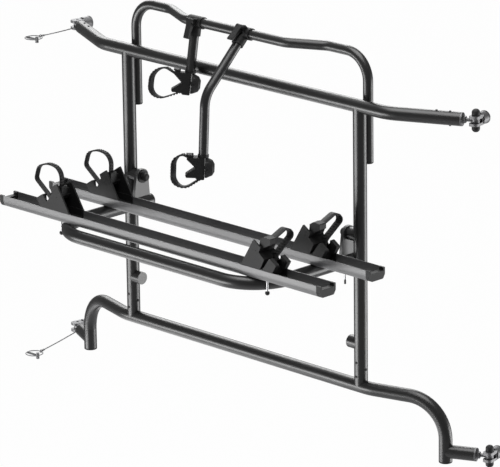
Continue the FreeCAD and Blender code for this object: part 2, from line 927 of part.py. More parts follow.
def holder_moulding(name, side, form):
    # one moulding: a shoe that slides in the rail, two fins, and what joins them
    body = new("PartDesign::Body", f"{name}_moulding")
    low = cell.rail_wall - cell.rail_height + cell.saddle_lift
    half = cell.shoe_half_width
    floor_half = cell.shoe_floor_half
    wall = cell.shoe_wall
    rim = cell.fin_y + cell.fin_thickness / 2
    rim_top = cell.fin_seat + 3
    shoe = [
        (-floor_half, low),
        (floor_half, low),
        (half, low + 10.4),
        (half, cell.fin_seat),
        (rim, cell.fin_seat),
        (rim, rim_top),
        (half - wall, rim_top),
        (half - wall, low + 12),
        (floor_half - 3, low + wall),
        (3 - floor_half, low + wall),
        (wall - half, low + 12),
        (wall - half, rim_top),
        (-rim, rim_top),
        (-rim, cell.fin_seat),
        (-half, cell.fin_seat),
        (-half, low + 10.4),
    ]
    inner = -side * cell.fin_inner
    outer = side * (cell.fin_outer - 14)
    pad(body, outline(body, "YZ_Plane", shoe, (inner + outer) / 2), cell.fin_inner + cell.fin_outer - 14)
    for row in (-1, 1):
        deep = row == -side
        pad(body, outline(body, "XZ_Plane", fin_outline(side, deep), -row * cell.fin_y), cell.fin_thickness)
        tooth = [
            (cell.fin_tooth_x - 4, cell.fin_seat),
            (cell.fin_tooth_x - 2, cell.fin_tooth - 2),
            (cell.fin_tooth_x, cell.fin_tooth, 2),
            (cell.fin_outer, cell.fin_outer_height, 2),
            (cell.fin_outer - 14, cell.fin_seat),
        ]
        tooth_y = rim - cell.tooth_thickness / 2
        pad(body, outline(body, "XZ_Plane", mirrored(side, tooth), -row * tooth_y), cell.tooth_thickness)
    lean = (cell.fin_bulge_x - cell.deep_slot_x) / (cell.fin_bulge - cell.deep_slot)
    foot_x = cell.deep_slot_x - lean * (cell.deep_slot + cell.web_foot)
    web = [
        (foot_x, -cell.web_foot),
        (cell.fin_bulge_x - 0.5, cell.fin_bulge),
        (cell.fin_waist_x, cell.fin_waist),
        (cell.fin_shoulder_x - 0.5, cell.fin_shoulder),
        (cell.fin_shoulder_x - cell.web_thickness, cell.fin_shoulder + 3),
        (cell.fin_waist_x - cell.web_thickness, cell.fin_waist - 1),
        (cell.fin_bulge_x - cell.web_thickness - 1, cell.fin_bulge),
        (foot_x - cell.web_thickness, -cell.web_foot),
    ]
    anchor_end = cell.deep_slot_x + 12
    if "across_x" in form:
        anchor_end = form["across_x"] + form["width"] / 2 + 3
    anchor = [
        (cell.deep_slot_x - 5, -cell.web_foot),
        (anchor_end, -cell.web_foot),
        (anchor_end, cell.anchor_top, 2),
        (cell.deep_slot_x - 3, cell.anchor_top),
    ]
    for shape in (web, anchor):
        pad(body, outline(body, "XZ_Plane", mirrored(side, shape)), (cell.fin_y - 2) * 2)
    buckle = outline(body, "XZ_Plane", mirrored(side, form["buckle"]), -form["buckle_y"])
    pad(body, buckle, form["buckle_width"])
    return body


def lengthened(points, distance):
    # the same route with both of its ends moved outwards
    spots = [vector(point) for point in points]
    first = spots[0] + (spots[0] - spots[1]).normalize() * distance
    last = spots[-1] + (spots[-1] - spots[-2]).normalize() * distance
    return [tuple(first)] + list(points[1:-1]) + [tuple(last)]


def strap_with_room(name, points, radii, width):
    # the strap itself, and the slightly larger room that is cut for it
    play = cell.slot_play * 2
    strap = swept_band(f"{name}_band", points, radii, width, cell.strap_thickness)
    longer = lengthened(points, cell.slot_play.value)
    room = swept_band(f"{name}_strap_room", longer, radii, width + play, cell.strap_thickness + play)
    return strap, room


def wheel_holder(name, side, seat, form):
    # A loop that lies along the rail is drawn there. One that reaches over the
    # wheel is drawn the same way and then turned across the rail.
    across_x = form.get("across_x")
    body = holder_moulding(name, side, form)
    facing = side if across_x is None else 1
    corners = [(facing * x, 0, height) for x, height in form["strap"]]
    strap, strap_room = strap_with_room(name, corners, form["bends"], form["width"])
    strap_seat = seat
    strap_turn = Rotation()
    if across_x is not None:
        strap_turn = Rotation(Vector(0, 0, 1), 90)
        strap_seat = (seat[0] + side * across_x, seat[1], seat[2])
        place(strap_room, (side * across_x, 0, 0), strap_turn)

    # ratchet latch on the inner side of the buckle, on a pin through both fins
    latch_x, pivot = form["latch"]
    latch_x = side * latch_x
    pin_half = cell.fin_y + cell.fin_thickness / 2
    pin_room = cylinder(
        f"{name}_pin_room",
        (latch_x, -pin_half - 1, pivot),
        (0, 1, 0),
        cell.latch_pin_radius + cell.running_fit,
        (pin_half + 1) * 2,
    )
    rooms = fused(f"{name}_rooms", [pin_room, strap_room])
    place(keep(cut(f"{name}_seat", body, rooms), f"{name}_holder"), seat)
    place(keep(strap, f"{name}_strap"), strap_seat, strap_turn)

    half_latch = cell.latch_thickness / 2
    low = pivot - half_latch
    top = low + cell.latch_length
    latch_profile = [
        (latch_x - half_latch, low, half_latch - 0.05),
        (latch_x + half_latch, low, half_latch - 0.05),
        (latch_x + half_latch, top, 1.5),
        (latch_x - half_latch, top, 1.5),
    ]
    latch = plate(f"{name}_lever", "XZ_Plane", latch_profile, cell.strap_width)
    pin_start = (latch_x, 1 - pin_half, pivot)
    pin = cylinder(f"{name}_latch_pin", pin_start, (0, 1, 0), cell.latch_pin_radius, pin_half * 2 - 2)
    place(keep(fused(f"{name}_latch_body", [latch, pin]), f"{name}_latch"), seat)


def wheel_holders(rail_base):
    # Corners in the upright plane of the rail, outwards and up from the seat.
    # The left straps stand open in a round loop, the right ones lie folded over.
    left = {
        "buckle": [(-8, 30), (5, 30), (6, 58, 2), (-8, 58, 2)],
        "strap": [
            (-1, 48),
            (-cell.open_strap_inner, cell.open_strap_top - 7),
            (cell.open_strap_outer / 2 - 6, cell.open_strap_top),
            (cell.open_strap_outer - 13.5, cell.open_strap_top - 15),
            (cell.open_strap_outer, cell.open_strap_turn),
            (cell.deep_slot_x + 0.2, cell.anchor_top - 5),
        ],
        "bends": [32, 70, 28, 12],
        "width": cell.open_strap_width,
        "buckle_width": cell.fin_y * 2 - 4,
        "buckle_y": 0,
        "latch": (-11.1, 40),
    }
    right = {
        "buckle": [(8, 58), (23.4, 63.6), (44.5, 74, 2), (44.5, 90, 3), (20, 92, 3), (7, 84, 3), (4, 66)],
        "strap": [
            (-10, 81),
            (cell.flat_strap_top_y, cell.flat_strap_top),
            (cell.flat_strap_reach, cell.flat_strap_turn),
            (12, 38),
            (-4, cell.anchor_top - 4),
        ],
        "bends": [20, 12, 30],
        "width": cell.flat_strap_width,
        "buckle_width": 25,
        "buckle_y": -9.5,
        "across_x": cell.flat_strap_x,
        "latch": (-2.5, 52),
    }
    rail_top = rail_base + cell.rail_height
    for rail, rail_y in (("front", cell.front_rail_y), ("rear", cell.rear_rail_y)):
        left_seat = (-cell.left_holder_x, -rail_y, rail_top)
        right_seat = (cell.right_holder_x, -rail_y, rail_top)
        wheel_holder(f"{rail}_left", -1, left_seat, left)
        wheel_holder(f"{rail}_right", 1, right_seat, right)


def bow_clamp(name, x, arm_x, length, tilt):
    # Hinged clamp round the bow, drawn with the arm pointing straight down,
    # then turned about the bow by the arm's tilt.
    turn = Rotation(Vector(1, 0, 0), -tilt)
    seat = (x, -cell.bow_front_y, cell.bar_height + cell.bow_rise)
    half = length / 2
    arm_shift = arm_x - x
    shell = cylinder(f"{name}_shell", (-half, 0, 0), (1, 0, 0), cell.clamp_radius, length)
    sleeve = cylinder(f"{name}_sleeve", (arm_shift, 0, 0), (0, 0, -1), cell.sleeve_radius, cell.sleeve_length)
    lug_y = -cell.lug_forward
    lugs = []
    for side in (-1, 1):
        lug_x = side * (cell.lever_half_width + 0.4 + cell.lug_thickness / 2)
        round_end = (lug_y - cell.lug_radius, cell.lug_rise + cell.lug_radius, cell.lug_radius - 0.05)
        profile = [
            (lug_y - cell.lug_radius, cell.lug_rise - cell.lug_radius, cell.lug_radius - 0.05),
            (0, cell.lug_rise - cell.clamp_radius),
            (0, cell.lug_rise + cell.lug_radius),
            round_end,
        ]
        lugs.append(plate(f"{name}_lug_{side + 1}", "YZ_Plane", profile, cell.lug_thickness))
        place(lugs[-1], (lug_x, 0, 0))
    solid = fused(f"{name}_solid", [shell, sleeve] + lugs)
    bow_room = cylinder(
        f"{name}_bow_room", (-half - 1, 0, 0), (1, 0, 0), cell.bow_radius + cell.running_fit, length + 2
    )
    arm_room = cylinder(
        f"{name}_arm_room",
        (arm_shift, 0, -cell.arm_start),
        (0, 0, -1),
        cell.arm_radius + cell.arm_fit,
        cell.sleeve_length,
    )
    pin_room = cylinder(
        f"{name}_pin_room",
        (-half, lug_y, cell.lug_rise),
        (1, 0, 0),
        cell.lever_pin_radius + cell.running_fit,
        length,
    )
    rooms = fused(f"{name}_rooms", [bow_room, arm_room, pin_room])
    place(keep(cut(f"{name}_body", solid, rooms), name), seat, turn)

    lever_radius = cell.lug_radius - 1
    drop = cell.lug_rise - cell.lever_length
    profile = [
        (lug_y - lever_radius, cell.lug_rise + lever_radius, lever_radius - 0.05),
        (lug_y - lever_radius - 4, drop / 2 + 2, 30),
        (lug_y - lever_radius - 8, drop, 2),
        (lug_y - lever_radius - 2, drop - 2, 2),
        (lug_y - lever_radius + 2, drop / 2 - 4, 26),
        (lug_y + lever_radius, cell.lug_rise - lever_radius, 4),
        (lug_y + lever_radius, cell.lug_rise + lever_radius, lever_radius - 0.05),
    ]
    paddle = plate(f"{name}_paddle", "YZ_Plane", profile, cell.lever_half_width * 2)
    pin_half = cell.lever_half_width + cell.lug_thickness
    pin = cylinder(
        f"{name}_pin", (-pin_half, lug_y, cell.lug_rise), (1, 0, 0), cell.lever_pin_radius, pin_half * 2
    )
    lever = fused(f"{name}_lever_body", [paddle, pin])
    place(keep(lever, f"{name}_lever"), seat, turn)


def claw(name, end, down, strap_form):
    # Jaw, knob and strap, drawn with +X towards the held tube and +Z up the arm.
    up = (vector(down) * -1).normalize()
    outward = Vector(-1, -1, 0).normalize()
    turn = Rotation(outward, up.cross(outward), up, "ZXY")
    centre = vector(end) - up * cell.claw_drop.value
    neck_start = (0, 0, cell.neck_start)
    neck = cylinder(f"{name}_neck", neck_start, (0, 0, 1), cell.neck_radius, cell.neck_length)
    room = cylinder(
        f"{name}_room",
        (0, 0, cell.neck_start + cell.neck_floor),
        (0, 0, 1),
        cell.arm_radius + cell.running_fit,
        cell.neck_length,
    )
    spigot_radius = cell.arm_radius - cell.arm_wall - cell.running_fit
    spigot = cylinder(f"{name}_spigot", neck_start, (0, 0, 1), spigot_radius, cell.spigot_length)
    face = cell.jaw_face
    high = cell.jaw_half_height
    profile = [
        (cell.jaw_start, -cell.jaw_bottom, 3),
        (face - 4.5, -cell.jaw_bottom, 3),
        (face, -cell.lower_finger_bottom),
        (cell.lower_finger - 3, -cell.lower_finger_bottom, 2),
        (cell.lower_finger, -cell.lower_finger_top, 2),
        (face, 1),
        (cell.upper_finger - 8, cell.upper_finger_tip - 7.5),
        (cell.upper_finger, cell.upper_finger_tip, 2),
        (cell.upper_finger - 2, high),
        (cell.jaw_start, high),
    ]
    jaw = plate(f"{name}_jaw", "XZ_Plane", profile, cell.jaw_half_width * 2)
    shaft_room = cylinder(
        f"{name}_shaft_room",
        (cell.jaw_start - 1, 0, 0),
        (1, 0, 0),
        cell.knob_shaft_radius + cell.running_fit,
        cell.knob_shaft_length + 1,
    )
    cheeks = []
    buckle_end = cell.buckle_start + cell.buckle_length
    for side in (-1, 1):
        cheek_profile = [
            (cell.buckle_start, high - 2),
            (buckle_end - 3, high - 2),
            (buckle_end - 3, cell.buckle_top, 3),
            (cell.buckle_start, cell.buckle_top, 3),
        ]
        cheek_y = side * (cell.claw_strap_width / 2 + 2.5)
        cheeks.append(plate(f"{name}_cheek_{side + 1}", "XZ_Plane", cheek_profile, 3))
        place(cheeks[-1], (0, cheek_y, 0))
    solid = fused(f"{name}_solid", [neck, jaw] + cheeks)
    pivot_x = cell.buckle_start + 6
    pivot_z = cell.claw_latch_pivot
    pin_radius = cell.lever_pin_radius - 1
    pivot_room = cylinder(
        f"{name}_pivot_room",
        (pivot_x, -cell.claw_strap_width, pivot_z),
        (0, 1, 0),
        pin_radius + cell.running_fit,
        cell.claw_strap_width * 2,
    )
    points = [(x, 0, height) for x, height in strap_form["corners"]]
    strap, strap_room = strap_with_room(name, points, strap_form["bends"], cell.claw_strap_width)
    place(keep(strap, f"{name}_strap"), centre, turn)
    rooms = fused(f"{name}_rooms", [room, shaft_room, pivot_room, strap_room])
    hollowed = cut(f"{name}_hollowed", solid, rooms)
    place(keep(fused(f"{name}_body", [hollowed, spigot]), name), centre, turn)

    # latch of the buckle, with a round back so that it turns clear of the jaw
    latch_half = cell.claw_strap_width / 2
    back = 2.9
    latch_profile = [
        (pivot_x - back, pivot_z - back, back - 0.05),
        (pivot_x + 4, pivot_z - back + 0.6),
        (buckle_end + 1, pivot_z + 0.8, 1),
        (buckle_end + 1, pivot_z + 4, 1),
        (pivot_x - back, pivot_z + back, back - 0.05),
    ]
    latch = plate(f"{name}_latch_plate", "XZ_Plane", latch_profile, latch_half * 2)
    pin_start = (pivot_x, -latch_half - 3.5, pivot_z)
    latch_pin = cylinder(f"{name}_latch_pin", pin_start, (0, 1, 0), pin_radius, latch_half * 2 + 7)
    place(keep(fused(f"{name}_latch_body", [latch, latch_pin]), f"{name}_latch"), centre, turn)

    shaft_end = 2 - cell.knob_shaft_length - cell.knob_gap
    knob_profile = [
        (0, shaft_end),
        (cell.knob_shaft_radius, shaft_end),
        (cell.knob_shaft_radius, 0),
        (cell.knob_radius, 0, 1.5),
        (cell.knob_radius, 5, 3),
        (cell.knob_waist_radius, cell.knob_length - 6, 3),
        (cell.knob_tip_radius, cell.knob_length, 3),
        (0, cell.knob_length),
    ]
    knob = turned(f"{name}_knob_turned", knob_profile)
    lobe = knob.newObject("Sketcher::SketchObject", f"{name}_lobe_sketch")
    lobe.AttachmentSupport = (plane_of(knob, "XY_Plane"), [""])
    lobe.MapMode = "FlatFace"
    lobe.addGeometry(Part.Circle(Vector(cell.knob_radius.value + 9, 0, 0), Vector(0, 0, 1), 12), False)
    fix_point(lobe, 0, 3, (cell.knob_radius + 9, 0))
    grip_size = lobe.addConstraint(Sketcher.Constraint("Radius", 0, 12))
    lobe.setExpression(f"Constraints[{grip_size}]", "sizes.knob_radius * 0.4")
    scoop = knob.newObject("PartDesign::Pocket", f"{name}_scoop")
    scoop.Profile = lobe
    scoop.SideType = "Symmetric"
    bind(scoop, "Length", cell.knob_length * 4)
    lobes = knob.newObject("PartDesign::PolarPattern", f"{name}_lobes")
    lobes.Originals = [scoop]
    lobes.Axis = (lobe, ["N_Axis"])
    lobes.Angle = 360
    bind(lobes, "Occurrences", cell.knob_lobes)
    knob.Tip = lobes
    backward = turn * Rotation(Vector(0, 0, 1), Vector(-1, 0, 0))
    knob_seat = centre + turn.multVec(Vector(1, 0, 0)) * (cell.jaw_start - cell.knob_gap).value
    place(keep(knob, f"{name}_knob"), knob_seat, backward)


def frame_arms():
    # routes of the claw straps: down and out, round the held tube, back into the upper jaw
    claw_straps = {
        "first": {
            "corners": [(8, -20), (112, -66), (112, 36.5), (64, 36.5), (30, 17)],
            "bends": [28, 36, 14],
        },
        "second": {
            "corners": [(2, -28.6), (87.5, -86.8), (87.5, 34.5), (54, 34.5), (30, 22.5)],
            "bends": [29, 29, 14],
        },
    }
    top = cell.bar_height + cell.bow_rise
    first_top = (-cell.first_arm_x, -cell.bow_front_y, top)
    first_end = (-cell.first_arm_x, -cell.first_arm_end_y, top - cell.first_arm_drop)
    second_top = (cell.second_arm_x, -cell.bow_front_y, top)
    second_bend = (cell.second_arm_x, -cell.second_arm_bend_y, top - cell.second_arm_bend_drop)
    second_end = (cell.second_arm_x, -cell.second_arm_end_y, top - cell.second_arm_drop)
    second_bends = [cell.second_arm_bend_radius]
    for name, points, bends, clamp_x, length in (
        ("first", [first_top, first_end], [], -cell.first_clamp_x, cell.first_clamp_length),
        (
            "second",
            [second_top, second_bend, second_end],
            second_bends,
            cell.second_clamp_x,
            cell.second_clamp_length,
        ),
    ):
        down = (vector(points[1]) - vector(points[0])).normalize()
        tilt = math.degrees(math.atan2(-down.y, -down.z))
        start = vector(points[0]) + down * (cell.arm_start.value + 0.3)
        tube_points = [tuple(start)] + points[1:]
        tube, rod = bent_tube(f"{name}_arm_bend", tube_points, bends, cell.arm_radius, cell.arm_wall)
        keep(tube, f"{name}_arm")
        bow_clamp(f"{name}_clamp", clamp_x, points[0][0], length, tilt)
        last = vector(points[-1]) - vector(points[-2])
        claw(f"{name}_claw", points[-1], last, claw_straps[name])


def ring_pin(name, start, end):
    # Steel lanyard that ends in a ferrule, and the ring pin that hangs on it.
    # The pin is a chord of its ring and lies along X.
    first = vector(start)
    last = vector(end)
    third = (last - first) / 3
    bow_down = Vector(0, 0, -0.8)
    points = [first, first + third + bow_down, first + third * 2 + bow_down, last]
    radii = []
    for index in (1, 2):
        inward = points[index] - points[index - 1]
        outward = points[index + 1] - points[index]
        run = min(inward.Length, outward.Length)
        radii.append(0.45 * run / math.tan(inward.getAngle(outward) / 2))
    path = route(f"{name}_wire", points, radii)
    wire = swept_rod(f"{name}_wire", path, points, cell.lanyard_radius)
    keep(wire, f"{name}_lanyard")

    heading = (points[3] - points[2]).normalize()
    ferrule = cylinder(
        f"{name}_ferrule", tuple(last), tuple(heading), cell.ferrule_radius, cell.ferrule_length
    )
    loop_radius = cell.ferrule_radius + 1
    loop_centre = last + heading * (cell.ferrule_length.value + loop_radius.value)
    loop = ring(f"{name}_loop", tuple(loop_centre), (1, 0, 0), loop_radius, cell.ring_wire / 2 + 0.4)
    fitting = fused(f"{name}_fitting", [ferrule, loop])

    centre = loop_centre - Vector(0, cell.ring_radius.value + 1.2, 0)
    keep(ring(f"{name}_bail", tuple(centre), (0, 0, 1), cell.ring_radius, cell.ring_wire), f"{name}_ring")

    offset = cell.ring_pin_offset.value
    reach = math.sqrt(cell.ring_radius.value ** 2 - offset ** 2)
    head_x = centre.x + reach
    pin_y = centre.y - offset
    head_half = cell.ring_pin_head_height / 2
    head = cylinder(
        f"{name}_head",
        (head_x, pin_y, centre.z - head_half),
        (0, 0, 1),
        cell.ring_pin_head_radius,
        cell.ring_pin_head_height,
    )
    shaft_end = centre.x - reach + 4.5
    shank = cylinder(
        f"{name}_shank", (shaft_end, pin_y, centre.z), (1, 0, 0), cell.ring_pin_radius, head_x - shaft_end
    )
    tangent = Vector(offset, reach, 0).normalize()
    hole_start = Vector(head_x, pin_y, centre.z) - tangent * 10
    hole = cylinder(f"{name}_head_hole", tuple(hole_start), tuple(tangent), cell.ring_wire + 0.8, 20)
    pin = cut(f"{name}_pin_body", fused(f"{name}_pin_blank", [head, shank]), hole)
    keep(group(f"{name}_pin_parts", [fitting, pin]), f"{name}_ring_pin")


def lanyards(end_y, lower_end):
    upper = (-cell.upper_end_x - 9, end_y - 18.5, cell.bar_height)
    upper_far = (-cell.upper_end_x - 9, -51, cell.bar_height)
    ring_pin("upper", upper, upper_far)
    x, y, z = lower_end
    lower = (x - 8, y - 18.5, z - 4)
    lower_far = (x + 21, -73, z - 15)
    ring_pin("lower", lower, lower_far)


end_y, foot_y, lower_rod = main_frame()
bow_y = bow()
tube_caps(foot_y, bow_y)
post_stubs()
lower_ends = side_stubs(foot_y, lower_rod)
van_fittings(end_y, lower_ends)
pivot_bolts()
rail_base = platform_frame()
rails(rail_base)
platform_bolts(rail_base)
wheel_holders(rail_base)
frame_arms()
lanyards(end_y, lower_ends[0][0])
document.recompute()

failed = [thing.Name for thing in document.Objects if "Invalid" in thing.State or "Error" in thing.State]
if failed:
    raise RuntimeError(f"failed: {failed}")
os.makedirs("parts", exist_ok=True)
for name, thing in nodes.items():
    if thing.Shape.isNull() or not thing.Shape.isValid() or not thing.Shape.Solids:
        raise RuntimeError(f"{name} has no valid solid")
for name, thing in nodes.items():
    thing.Shape.exportStep(f"parts/{name}.step")
print(len(nodes), "nodes written")
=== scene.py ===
import json
import math
import bmesh
import bpy
from mathutils import Matrix, Vector


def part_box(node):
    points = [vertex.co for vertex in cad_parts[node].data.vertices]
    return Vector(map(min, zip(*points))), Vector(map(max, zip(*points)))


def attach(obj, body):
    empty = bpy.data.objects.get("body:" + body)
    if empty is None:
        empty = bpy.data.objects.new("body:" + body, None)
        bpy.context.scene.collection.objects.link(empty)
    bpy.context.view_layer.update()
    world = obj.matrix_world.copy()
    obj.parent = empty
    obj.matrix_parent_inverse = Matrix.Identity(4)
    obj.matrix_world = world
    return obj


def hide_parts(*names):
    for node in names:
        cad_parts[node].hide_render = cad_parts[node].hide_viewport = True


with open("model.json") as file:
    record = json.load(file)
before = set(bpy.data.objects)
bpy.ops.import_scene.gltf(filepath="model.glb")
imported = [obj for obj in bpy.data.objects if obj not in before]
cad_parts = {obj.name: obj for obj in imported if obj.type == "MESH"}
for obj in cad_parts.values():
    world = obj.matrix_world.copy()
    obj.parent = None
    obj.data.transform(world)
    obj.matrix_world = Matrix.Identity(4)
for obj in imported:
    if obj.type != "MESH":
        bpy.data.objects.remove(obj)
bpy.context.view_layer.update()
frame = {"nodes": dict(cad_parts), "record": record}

nodes = frame["nodes"]
scene = bpy.context.scene
print("frame loaded:", len(nodes), "nodes")


def addObject(name, data):
    made = bpy.data.objects.new(name, data)
    scene.collection.objects.link(made)
    return made


def shadeSmooth(mesh, sharpAngle):
    mesh.shade_smooth()
    mesh.set_sharp_from_angle(angle=math.radians(sharpAngle))


# camera and picture

cameraSetup = {
    "azimuth": 45.45,          # degrees round the rack, from straight behind it
    "elevation": 16.92,
    "roll": -0.766,
    "lens": 297.0,             # mm on a sensor of this width
    "sensor": 36,
    "farthest": 100,
    "place": (7.9212, -7.7699, 3.7204),
}


def makeCamera(setup):
    turn = math.radians(setup["azimuth"])
    rise = math.radians(setup["elevation"])
    roll = math.radians(setup["roll"])
    back = Vector((math.sin(turn) * math.cos(rise), -math.cos(turn) * math.cos(rise), math.sin(rise)))
    right = (-back).cross(Vector((0, 0, 1))).normalized()
    up = right.cross(-back)
    across = right * math.cos(roll) + up * math.sin(roll)
    upward = up * math.cos(roll) - right * math.sin(roll)
    data = bpy.data.cameras.new("camera")
    data.sensor_width = setup["sensor"]
    data.lens = setup["lens"]
    data.clip_end = setup["farthest"]
    camera = addObject("camera", data)
    axes = Matrix((across, upward, back)).transposed().to_4x4()
    camera.matrix_world = Matrix.Translation(setup["place"]) @ axes
    scene.camera = camera


makeCamera(cameraSetup)
scene.view_settings.view_transform = "Standard"
print("camera placed")


# lanyards, which hang from the left-hand fittings

lanyards = {
    "upper": {"start": (-0.759, 0.0692, 0.8), "end": (-0.759, -0.051, 0.8)},
    "lower": {"start": (-0.80294, 0.07995, -0.147), "end": (-0.77394, -0.073, -0.158)},
    "diameter": 0.0032,
    "sag": 0.0008,
    "roundness": 4,
}


def makeLanyard(name, setup):
    start = Vector(setup[name]["start"])
    end = Vector(setup[name]["end"])
    sag = Vector((0, 0, setup["sag"]))
    third = (end - start) / 3
    points = [start, start + third - sag, start + third * 2 - sag, end]
    curve = bpy.data.curves.new(name + "Lanyard", "CURVE")
    curve.dimensions = "3D"
    curve.bevel_depth = 1.0    # the points' own radii give the thickness
    curve.bevel_resolution = setup["roundness"]
    spline = curve.splines.new("NURBS")
    spline.points.add(len(points) - 1)
    for point, spot in zip(spline.points, points):
        point.co = (*spot, 1)
        point.radius = setup["diameter"] / 2
    spline.order_u = 3
    spline.use_endpoint_u = True
    wire = addObject(name + "Lanyard", curve)
    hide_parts(name + "_lanyard")
    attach(wire, "frame")
    return wire


wires = [makeLanyard(name, lanyards) for name in ("upper", "lower")]
print("lanyards strung")


# shader tools

class Signal:
    # a socket's output that takes part in ordinary sums
    def __init__(self, maker, socket):
        self.maker = maker
        self.socket = socket

    def sum(self, operation, first, second):
        return self.maker.node("ShaderNodeMath", {"operation": operation}, {0: first, 1: second})

    def __add__(self, other):
        return self.sum("ADD", self, other)

    __radd__ = __add__

    def __sub__(self, other):
        return self.sum("SUBTRACT", self, other)

    def __rsub__(self, other):
        return self.sum("SUBTRACT", other, self)

    def __mul__(self, other):
        return self.sum("MULTIPLY", self, other)

    def above(self, limit):
        return self.sum("GREATER_THAN", self, limit)

    def below(self, limit):
        return self.sum("LESS_THAN", self, limit)


class Finish:
    # one material, built node by node
    def __init__(self, name):
        self.material = bpy.data.materials.new(name)
        self.material.use_nodes = True
        self.tree = self.material.node_tree
        self.tree.nodes.clear()
        self.place = self.node("ShaderNodeTexCoord", output="Object")

    def node(self, kind, settings=None, inputs=None, output=0):
        made = self.tree.nodes.new(kind)
        for name, value in (settings or {}).items():
            setattr(made, name, value)
        for name, value in (inputs or {}).items():
            if isinstance(value, Signal):
                self.tree.links.new(value.socket, made.inputs[name])
            else:
                made.inputs[name].default_value = value
        return Signal(self, made.outputs[output])

    def noise(self, scale, detail, stretch=(1, 1, 1), roughness=0.5):
        spot = self.node("ShaderNodeMapping", {}, {"Vector": self.place, "Scale": stretch})
        return self.node("ShaderNodeTexNoise", {}, {
            "Vector": spot, "Scale": scale, "Detail": detail, "Roughness": roughness,
        })

    def shades(self, amount, tone, share):
        # a grey that wanders between two shares of its tone
        colours = {6: grey(tone * share[0]), 7: grey(tone * share[1])}
        return self.mix(amount, colours)

    def mix(self, amount, colours):
        return self.node("ShaderNodeMix", {"data_type": "RGBA"}, {0: amount, **colours}, output=2)

    def bump(self, height, depth):
        distance, strength = depth
        return self.node("ShaderNodeBump", {}, {"Height": height, "Distance": distance, "Strength": strength})

    def part(self, axis):
        index = "XYZ".index(axis)
        return self.node("ShaderNodeSeparateXYZ", {}, {0: self.place}, output=index)

    def finish(self, **inputs):
        self.show(self.node("ShaderNodeBsdfPrincipled", {}, inputs))
        return self.material

    def show(self, shader):
        output = self.tree.nodes.new("ShaderNodeOutputMaterial")
        self.tree.links.new(shader.socket, output.inputs["Surface"])


blueShare = 1.02       # the greys are a little cool
noiseMiddle = 0.5


def grey(level):
    return (level, level, level * blueShare, 1)


# finishes; a noise is given by scale and detail, a bump by distance in metres and strength

powderLook = {
    "peel": (900, 2.0),
    "cloud": (6, 3.0),
    "speck": (2600, 1.0),
    "speckShare": 0.1,
    "shades": (0.85, 1.2),
    "roughnessSpread": 0.1,
    "bump": (0.00003, 0.05),
    "specular": 1.0,
}


def powderCoat(name, tone, roughness, look=powderLook):
    made = Finish(name)
    peel = made.noise(*look["peel"])
    cloud = made.noise(*look["cloud"])
    speck = made.noise(*look["speck"])
    return made.finish(**{
        "Base Color": made.shades(cloud, tone, look["shades"]),
        "Roughness": roughness + (cloud - noiseMiddle) * look["roughnessSpread"],
        "Normal": made.bump(peel + speck * look["speckShare"], look["bump"]),
        "Specular IOR Level": look["specular"],
    })


extrusionLook = {
    "drawn": (60, 3.0),
    "stretch": (0.02, 14, 14),      # long streaks down the rail
    "cloud": (5, 2.0),
    "shades": (0.92, 1.1),
    "metallic": 0.1,
    "specular": 0.8,
    "roughness": 0.36,
    "roughnessSpread": 0.16,
    "bump": (0.00008, 0.4),
}


def extrusion(name, tone, look=extrusionLook):
    made = Finish(name)
    drawn = made.noise(*look["drawn"], stretch=look["stretch"])
    cloud = made.noise(*look["cloud"])
    return made.finish(**{
        "Base Color": made.shades(cloud, tone, look["shades"]),
        "Metallic": look["metallic"],
        "Specular IOR Level": look["specular"],
        "Roughness": look["roughness"] + (drawn - noiseMiddle) * look["roughnessSpread"],
        "Normal": made.bump(drawn, look["bump"]),
    })


plasticLook = {
    "grain": (1900, 2.0),
    "grainRoughness": 0.7,
    "cloud": (14, 2.0),
    "shades": (0.85, 1.2),
    "roughness": 0.55,
    "roughnessSpread": 0.2,
    "specular": 0.4,
    "bump": (0.00015, 0.5),
}


def mouldedPlastic(name, tone, look=plasticLook):
    made = Finish(name)
    grain = made.noise(*look["grain"], roughness=look["grainRoughness"])
    cloud = made.noise(*look["cloud"])
    return made.finish(**{
        "Base Color": made.shades(cloud, tone, look["shades"]),
        "Roughness": look["roughness"] + (grain - noiseMiddle) * look["roughnessSpread"],
        "Specular IOR Level": look["specular"],
        "Normal": made.bump(grain, look["bump"]),
    })


strapLook = {
    "grain": (1200, 3.0),
    "cloud": (30, 2.0),
    "shades": (0.8, 1.25),
    "roughness": 0.6,
    "roughnessSpread": 0.15,
    "bump": (0.0001, 0.4),
}


def softStrap(name, tone, look=strapLook):
    made = Finish(name)
    grain = made.noise(*look["grain"])
    cloud = made.noise(*look["cloud"])
    return made.finish(**{
        "Base Color": made.shades(cloud, tone, look["shades"]),
        "Roughness": look["roughness"] + (cloud - noiseMiddle) * look["roughnessSpread"],
        "Normal": made.bump(grain, look["bump"]),
    })


metalLook = {
    "grain": (700, 3.0),
    "cloud": (40, 2.0),
    "shades": (0.9, 1.05),
    "roughnessSpread": 0.15,
    "bump": (0.00006, 0.35),
    "darkTone": 0.025,              # plastic heads and tips on metal pins
    "darkRoughness": 0.25,
}


def bareMetal(name, tone, roughness, darkPart=None, look=metalLook):
    made = Finish(name)
    grain = made.noise(*look["grain"])
    cloud = made.noise(*look["cloud"])
    colour = made.shades(cloud, tone, look["shades"])
    rough = roughness + (grain - noiseMiddle) * look["roughnessSpread"]
    metal = 1.0
    if darkPart:
        mask = darkPart(made)
        colour = made.mix(mask, {6: colour, 7: grey(look["darkTone"])})
        metal = 1 - mask
        rough = rough + mask * look["darkRoughness"]
    return made.finish(**{
        "Base Color": colour,
        "Metallic": metal,
        "Roughness": rough,
        "Normal": made.bump(grain, look["bump"]),
    })


darkParts = {
    "headStart": 0.0141,            # height above and below a pin's middle where its heads begin
    "between": -0.2,                # y between the front rod, with a ball, and the rear one, with a tip
    "ballTop": 0.337,
    "tipTop": 0.303,
}


